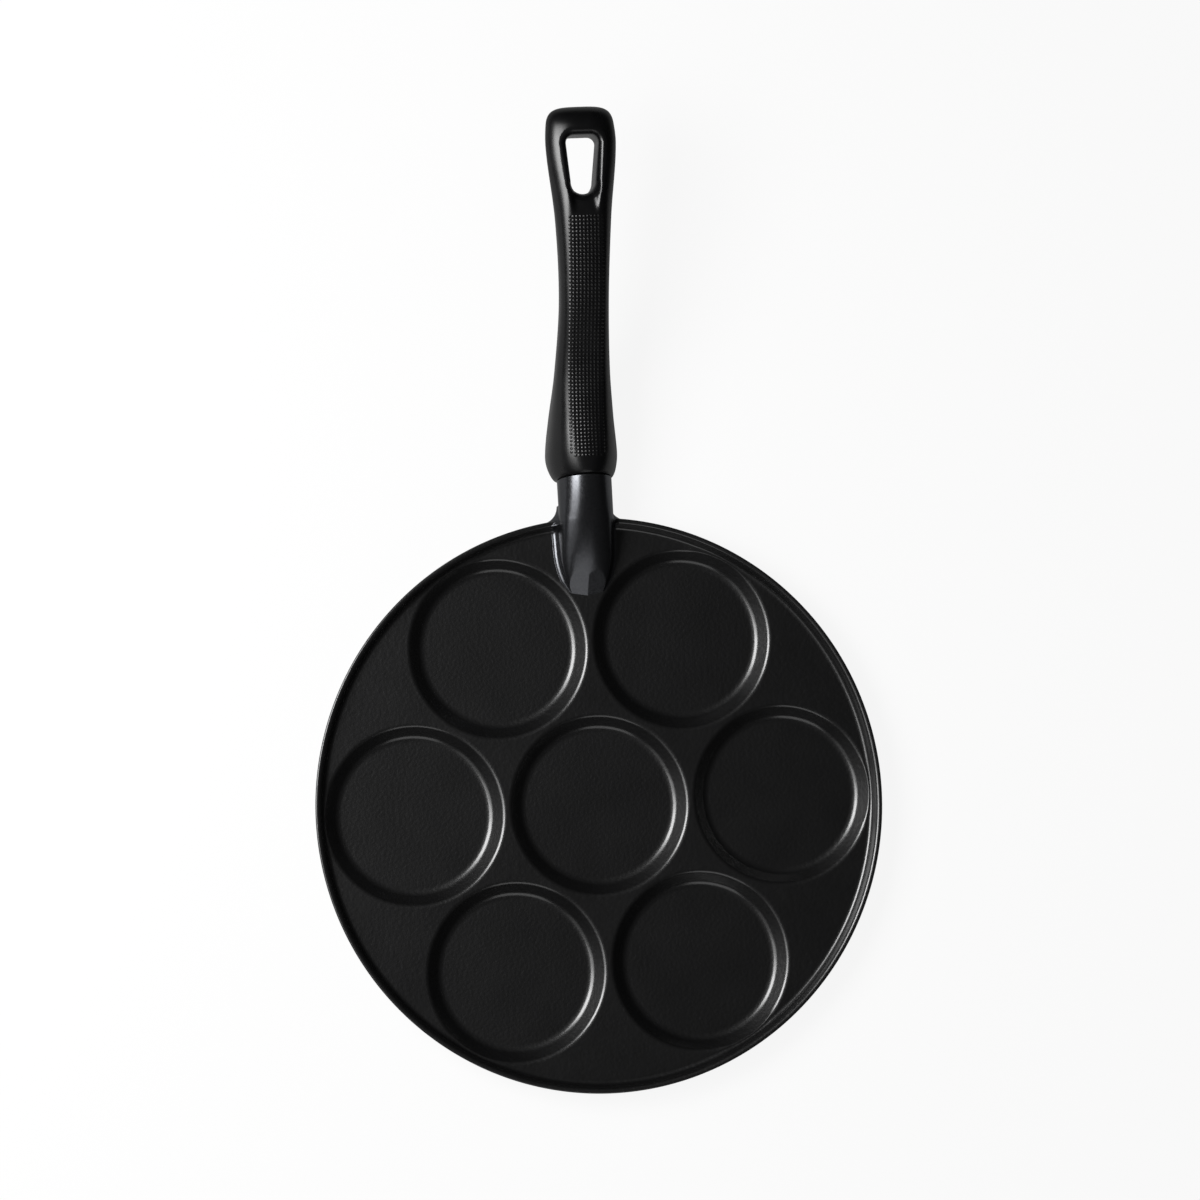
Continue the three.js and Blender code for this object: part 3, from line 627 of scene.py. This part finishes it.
# The hole's edge is rolled over on both sides; the first and last two rows stand clear of the grip
flare = hole_outline(SIDE_ROLL + 1.2)
hole_rows = [[(x, y, 75.0) for x, y in flare], [(x, y, grip_over(x, y) + 0.7) for x, y in flare]]
for turn in (math.radians(8 * k) for k in range(1, 12)):
    drop = SIDE_ROLL * (1 - math.cos(turn))
    plan = hole_outline(SIDE_ROLL * (1 - math.sin(turn)))
    hole_rows.append([(x, y, grip_over(x, y) - drop) for x, y in plan])
for turn in (math.radians(a) for a in (90, 70, 50, 30, 15)):
    lift = UNDER_ROLL * (1 - math.cos(turn))
    plan = hole_outline(UNDER_ROLL * (1 - math.sin(turn)))
    hole_rows.append([(x, y, grip_under(x, y) + lift) for x, y in plan])
flare = hole_outline(UNDER_ROLL + 1.5)
hole_rows += [[(x, y, grip_under(x, y) - 0.8) for x, y in flare], [(x, y, 40.0) for x, y in flare]]

socket_plan = [(-SOCKET_HALF, SOCKET_LOW), (SOCKET_HALF, SOCKET_LOW),
               (SOCKET_HALF, SOCKET_HIGH), (-SOCKET_HALF, SOCKET_HIGH)]
socket_rows = [[(x, y, z) for x, z in socket_plan] for y in (140.0, SOCKET_END)]
pocket_rows = [[(SCREW_PLACE[0] + radius * math.cos(math.radians(7.5 * k)),
                 SCREW_PLACE[1] + radius * math.sin(math.radians(7.5 * k)), level) for k in range(48)]
               for radius, level in POCKET]

grip = make_piece("grip_moulding", [(*lofted(grip_rows), 0)], [phenolic])
cut_out(grip, [hole_rows, socket_rows, pocket_rows], phenolic)
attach(grip, "root")
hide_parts("handle_grip")

# The moulded pimples: low blunt cones in rows across the top, up to the scoop, with a round near end
PIMPLE_PITCH, PIMPLE_RADIUS, PIMPLE_TIP, PIMPLE_HEIGHT, PIMPLE_SINK = 1.7, 0.74, 0.14, 0.215, 0.25
PANEL_NEAR, PANEL_FAR, PANEL_COLUMNS, PANEL_ROUND = 6.2, 115.6, 10, 8.4
pimple_rings = [(PIMPLE_RADIUS, -PIMPLE_SINK), (PIMPLE_RADIUS, 0), (PIMPLE_TIP, PIMPLE_HEIGHT)]
pimple_points, pimple_faces = [], []
for row in range(int((PANEL_FAR - PANEL_NEAR) / PIMPLE_PITCH) + 1):
    distance = PANEL_NEAR + row * PIMPLE_PITCH
    for column in range(PANEL_COLUMNS):
        x = (column - (PANEL_COLUMNS - 1) / 2) * PIMPLE_PITCH
        y = GRIP_START + distance
        if distance - PANEL_NEAR < (PANEL_ROUND - math.sqrt(max(0, PANEL_ROUND**2 - x * x))) / 2:
            continue
        foot = Vector(grip_place(distance, x, grip_over(x, y)))
        along = Vector((0, 1, grip_over(x, y + 0.5) - grip_over(x, y - 0.5))).normalized()
        side = Vector((1, 0, grip_over(x + 0.5, y) - grip_over(x - 0.5, y))).normalized()
        up = side.cross(along).normalized()
        along = up.cross(side)
        cone_rows = []
        for radius, lift in pimple_rings:
            angles = [math.radians(45 * k) for k in range(8)]
            cone_rows.append([tuple(foot + side * radius * math.cos(a) + along * radius * math.sin(a) + up * lift)
                              for a in angles])
        cone_points, cone_faces = lofted(cone_rows)
        pimple_faces += [tuple(len(pimple_points) + k for k in face) for face in cone_faces]
        pimple_points += cone_points
pimples = make_piece("grip_pimples", [(pimple_points, pimple_faces, 0)], [phenolic], crease=17)
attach(pimples, "root")

# ------------------------------------------------------------------------------------------------
# Fastening: a slotted M5 cheese-head screw of zinc-plated steel from below into the tang, over a
# split spring washer and a plain washer that seat in the counterbore.
# ------------------------------------------------------------------------------------------------
SCREW_HEAD, SCREW_LOW, SCREW_SEAT, SCREW_TIP = 4.25, 5.737, 9.037, 23.3
SLOT_HALF, SLOT_ROOT = 0.6, 7.037
THREAD_PITCH, THREAD_CREST, THREAD_ROOT, THREAD_LEAD, THREAD_STEPS = 0.8, 2.5, 2.1, 1.2, 32

# Zinc-plated steel: a cool, slightly yellowish grey metal with a passivated haze and fine turning
# lines around the axis.
TURNING = 0.12  # mm, spacing of the turning lines
HAZE = 1.5  # mm, clouds in the passivated film
zinc, tree, shader, place = new_material("zinc_plated_turned_steel")
haze = add_node(tree, "ShaderNodeTexNoise", {"Vector": place, "Scale": 1 / (HAZE * MM), "Detail": 3.0})
lines = add_node(tree, "ShaderNodeTexWave", {
    "Vector": place, "Scale": 1 / (TURNING * MM) / 20, "Distortion": 0.5}, bands_direction="Z")
colour = add_node(tree, "ShaderNodeMix", {
    0: haze.outputs["Fac"], 6: linear("#a9aaa6"), 7: linear("#c2c3c1")}, data_type="RGBA")
sheen = add_node(tree, "ShaderNodeMapRange", {"Value": haze.outputs["Fac"], "To Min": 0.26, "To Max": 0.42})
relief = add_node(tree, "ShaderNodeBump", {
    "Height": lines.outputs["Fac"], "Strength": 0.15, "Distance": 0.01 * MM})
feed(tree, shader, {
    "Base Color": colour.outputs[2], "Roughness": sheen.outputs["Result"], "Normal": relief.outputs["Normal"],
    "Metallic": 1.0})

head_points, head_faces = [], []
head_profile = rounded([
    (0.4, SCREW_LOW, 0), (SCREW_HEAD, SCREW_LOW, 0.6), (SCREW_HEAD, SCREW_SEAT, 0.25), (2.0, SCREW_SEAT, 0)])
low, high = spun(head_points, head_faces, lambda angle: head_profile, SCREW_PLACE, 64)
close_ring(head_points, head_faces, low, (*SCREW_PLACE, SCREW_LOW))
close_ring(head_points, head_faces, high, (*SCREW_PLACE, SCREW_SEAT))
screw = make_piece("screw_head", [(head_points, head_faces, 0)], [zinc])
slot_plan = [(-SLOT_HALF, 4.0), (SLOT_HALF, 4.0), (SLOT_HALF, SLOT_ROOT), (-SLOT_HALF, SLOT_ROOT)]
cut_out(screw, [[[(x, SCREW_PLACE[1] + y, z) for y, z in slot_plan] for x in (-6.0, 6.0)]], zinc)
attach(screw, "root")
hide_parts("handle_screw")

shank_rows = []
for level in np.arange(SCREW_SEAT - 0.4, SCREW_TIP, 0.1):
    taper = min(1, (SCREW_TIP - level) / THREAD_LEAD)
    row = []
    for k in range(THREAD_STEPS):
        turn = (level / THREAD_PITCH - k / THREAD_STEPS) % 1
        height = (THREAD_CREST - THREAD_ROOT) * taper * (1 - abs(2 * turn - 1))
        radius = THREAD_ROOT * (0.75 + 0.25 * taper) + height
        angle = 2 * math.pi * k / THREAD_STEPS
        row.append((SCREW_PLACE[0] + radius * math.cos(angle), SCREW_PLACE[1] + radius * math.sin(angle), level))
    shank_rows.append(row)
shank = make_piece("screw_thread", [(*lofted(shank_rows), 0)], [zinc])
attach(shank, "root")


def washer(name, inner, outer, low, high, gap, rise, material):
    """A flat ring with broken edges; one with a gap (degrees) has its cut ends sprung apart by rise."""
    edge, steps, middle = 0.2, 72, (low + high) / 2
    profile = rounded([(inner, middle, 0), (inner, high, edge), (outer, high, edge), (outer, low, edge),
                       (inner, low, edge), (inner, middle - 0.01, 0)], 3)
    rows = []
    for k in range(steps + (1 if gap else 0)):
        share = k / steps
        angle = math.radians(gap / 2 + (360 - gap) * share)
        rows.append([(SCREW_PLACE[0] + r * math.cos(angle), SCREW_PLACE[1] + r * math.sin(angle),
                      z + rise * (share - 0.5)) for r, z in profile])
    return make_piece(name, [(*lofted(rows, "flat" if gap else "joined"), 0)], [material])


# Spring steel, hardened and oiled: darker than the plating, blue-grey with brown in the patches
SCALE = 0.8  # mm, patches of the hardening scale
spring, tree, shader, place = new_material("oiled_spring_steel")
scale = add_node(tree, "ShaderNodeTexNoise", {"Vector": place, "Scale": 1 / (SCALE * MM), "Detail": 4.0})
colour = add_node(tree, "ShaderNodeMix", {
    0: scale.outputs["Fac"], 6: linear("#4a4b50"), 7: linear("#6a6560")}, data_type="RGBA")
sheen = add_node(tree, "ShaderNodeMapRange", {"Value": scale.outputs["Fac"], "To Min": 0.30, "To Max": 0.50})
feed(tree, shader, {"Base Color": colour.outputs[2], "Roughness": sheen.outputs["Result"], "Metallic": 1.0})

lock = washer("split_washer", 2.85, 4.6, 9.437, 10.437, 10, 0.2, spring)
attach(lock, "root")
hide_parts("lock_washer")
plain = washer("plain_washer", 2.8, 5.0, 10.837, 11.837, 0, 0, zinc)
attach(plain, "root")
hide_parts("flat_washer")

# ------------------------------------------------------------------------------------------------
# Studio: a white paper floor, a key light from the left made of three softboxes one in another so
# that it is brightest in its middle, two weak fills, and a camera above the pan, a little to its
# left.
# ------------------------------------------------------------------------------------------------
TURN = math.radians(3.4)  # how far the pan lies turned in the picture
AIM = (1.648, 95.778, 0.0)
AWAY, STAND_OFF = (-0.175, -0.05, 1.0), 2400.0
FOCAL, FILM = 5139.76 / 1200, 36  # focal length in picture widths, and the film's width


def in_picture(x, y, z):
    """A place or direction given along the picture's own sides, in the pan's frame."""
    return Vector((x * math.cos(TURN) + y * math.sin(TURN), y * math.cos(TURN) - x * math.sin(TURN), z))


camera_data = bpy.data.cameras.new("camera")
camera_data.sensor_width = FILM
camera_data.lens = FILM * FOCAL
camera = bpy.data.objects.new("camera", camera_data)
bpy.context.scene.collection.objects.link(camera)
backward = in_picture(*AWAY).normalized()
across = in_picture(0, 1, 0).cross(backward).normalized()
upward = backward.cross(across)
camera.matrix_world = Matrix((across, upward, backward)).transposed().to_4x4()
camera.location = in_picture(*AIM) * MM + backward * STAND_OFF * MM
bpy.context.scene.camera = camera


def softbox(name, place, aim, width, height, radiance):
    lamp = bpy.data.lights.new(name, "AREA")
    lamp.shape = "RECTANGLE"
    lamp.size, lamp.size_y = width, height
    lamp.energy = radiance * math.pi * width * height
    box = bpy.data.objects.new(name, lamp)
    bpy.context.scene.collection.objects.link(box)
    box.location = in_picture(*place)
    box.rotation_euler = (in_picture(*aim) - box.location).to_track_quat("-Z", "Y").to_euler()


softbox("key_softbox", (-0.67, 0.14, 0.72), (0, 0.04, 0), 1.0, 0.58, 2.2)
softbox("key_middle", (-0.655, 0.20, 0.70), (0, 0.04, 0), 0.62, 0.50, 4.5)
softbox("key_core", (-0.64, 0.235, 0.69), (0, 0.04, 0), 0.34, 0.44, 6.5)
softbox("side_fill", (-0.56, -0.44, 0.68), (0, 0.05, 0), 0.5, 0.5, 0.4)
softbox("fill_softbox", (0.06, -0.88, 0.60), (0, 0.05, 0), 0.6, 0.44, 1.0)

# The floor is nine parts plain white to the camera, and one part matt paper that keeps the shadow.
# Mirrored in the pan it is far darker.
FLOOR_RADIUS, FLOOR_LEVEL, FLOOR_SIDES = 30, -0.0003, 60
floor_angles = [2 * math.pi * k / FLOOR_SIDES for k in range(FLOOR_SIDES)]
floor_points = [(FLOOR_RADIUS * math.cos(a), FLOOR_RADIUS * math.sin(a), FLOOR_LEVEL) for a in floor_angles]
floor_mesh = bpy.data.meshes.new("floor")
floor_mesh.from_pydata(floor_points, [], [tuple(range(FLOOR_SIDES))])
floor = bpy.data.objects.new("floor", floor_mesh)
bpy.context.scene.collection.objects.link(floor)
paper = bpy.data.materials.new("white_paper_sweep")
paper.use_nodes = True
tree = paper.node_tree
tree.nodes.remove(tree.nodes["Principled BSDF"])
rays = add_node(tree, "ShaderNodeLightPath").outputs
mirrored = add_node(tree, "ShaderNodeMath", {0: rays["Is Glossy Ray"], 1: 0.15}, operation="MULTIPLY")
seen = add_node(tree, "ShaderNodeMath", {
    0: rays["Is Camera Ray"], 1: rays["Is Transmission Ray"]}, operation="MAXIMUM")
seen = add_node(tree, "ShaderNodeMath", {0: seen.outputs[0], 1: 0.9}, operation="MULTIPLY")
share = add_node(tree, "ShaderNodeMath", {0: seen.outputs[0], 1: mirrored.outputs[0]}, operation="MAXIMUM")
paper_tone = add_node(tree, "ShaderNodeMix", {
    0: rays["Is Camera Ray"], 6: linear("#8c8c8c"), 7: linear("#f0f0f0")}, data_type="RGBA")
matt = add_node(tree, "ShaderNodeBsdfDiffuse", {"Color": paper_tone.outputs[2]})
white = add_node(tree, "ShaderNodeEmission", {"Color": linear("#ffffff"), "Strength": 1.0})
mixed = add_node(tree, "ShaderNodeMixShader", {
    0: share.outputs[0], 1: matt.outputs["BSDF"], 2: white.outputs["Emission"]})
tree.links.new(mixed.outputs["Shader"], tree.nodes["Material Output"].inputs["Surface"])
floor_mesh.materials.append(paper)

# The room: a pale card low on the left and a dim ceiling for what the pan mirrors, a pale wall
# behind the floor for the camera, and little light of its own
world = bpy.data.worlds.new("studio")
bpy.context.scene.world = world
world.use_nodes = True
tree = world.node_tree
toward = add_node(tree, "ShaderNodeTexCoord").outputs["Generated"]
height = add_node(tree, "ShaderNodeSeparateXYZ", {"Vector": toward}).outputs["Z"]
leftward = add_node(tree, "ShaderNodeVectorMath", {
    0: toward, 1: in_picture(-0.97, 0.24, 0)}, operation="DOT_PRODUCT")
card = add_node(tree, "ShaderNodeMapRange", {
    "Value": leftward.outputs["Value"], "From Min": 0.4, "From Max": 0.95, "To Min": 0.01, "To Max": 0.10})
sides = add_node(tree, "ShaderNodeMapRange", {
    "Value": height, "From Min": 0.0, "From Max": 0.25, "To Min": card.outputs["Result"], "To Max": 0.012},
    interpolation_type="SMOOTHSTEP")
overhead = add_node(tree, "ShaderNodeVectorMath", {
    0: toward, 1: in_picture(-0.14, 0, 0.99)}, operation="DOT_PRODUCT")
ceiling = add_node(tree, "ShaderNodeMapRange", {
    "Value": overhead.outputs["Value"], "From Min": 0.2, "From Max": 0.7, "To Min": 0.0, "To Max": 0.025},
    interpolation_type="SMOOTHSTEP")
mirrored = add_node(tree, "ShaderNodeMath", {
    0: sides.outputs["Result"], 1: ceiling.outputs["Result"]}, operation="ADD")
wall = add_node(tree, "ShaderNodeMapRange", {
    "Value": height, "From Min": 0.0, "From Max": 0.25, "To Min": 0.93, "To Max": 0.82})
rays = add_node(tree, "ShaderNodeLightPath").outputs
seen = add_node(tree, "ShaderNodeMath", {
    0: rays["Is Camera Ray"], 1: rays["Is Transmission Ray"]}, operation="MAXIMUM")
glow = add_node(tree, "ShaderNodeMapRange", {
    "Value": seen.outputs[0], "To Min": mirrored.outputs[0], "To Max": wall.outputs["Result"]})
strength = add_node(tree, "ShaderNodeMapRange", {
    "Value": rays["Is Diffuse Ray"], "To Min": glow.outputs["Result"], "To Max": 0.05})
feed(tree, tree.nodes["Background"], {"Strength": strength.outputs["Result"], "Color": linear("#ffffff")})

bpy.context.scene.view_settings.view_transform = "Standard"
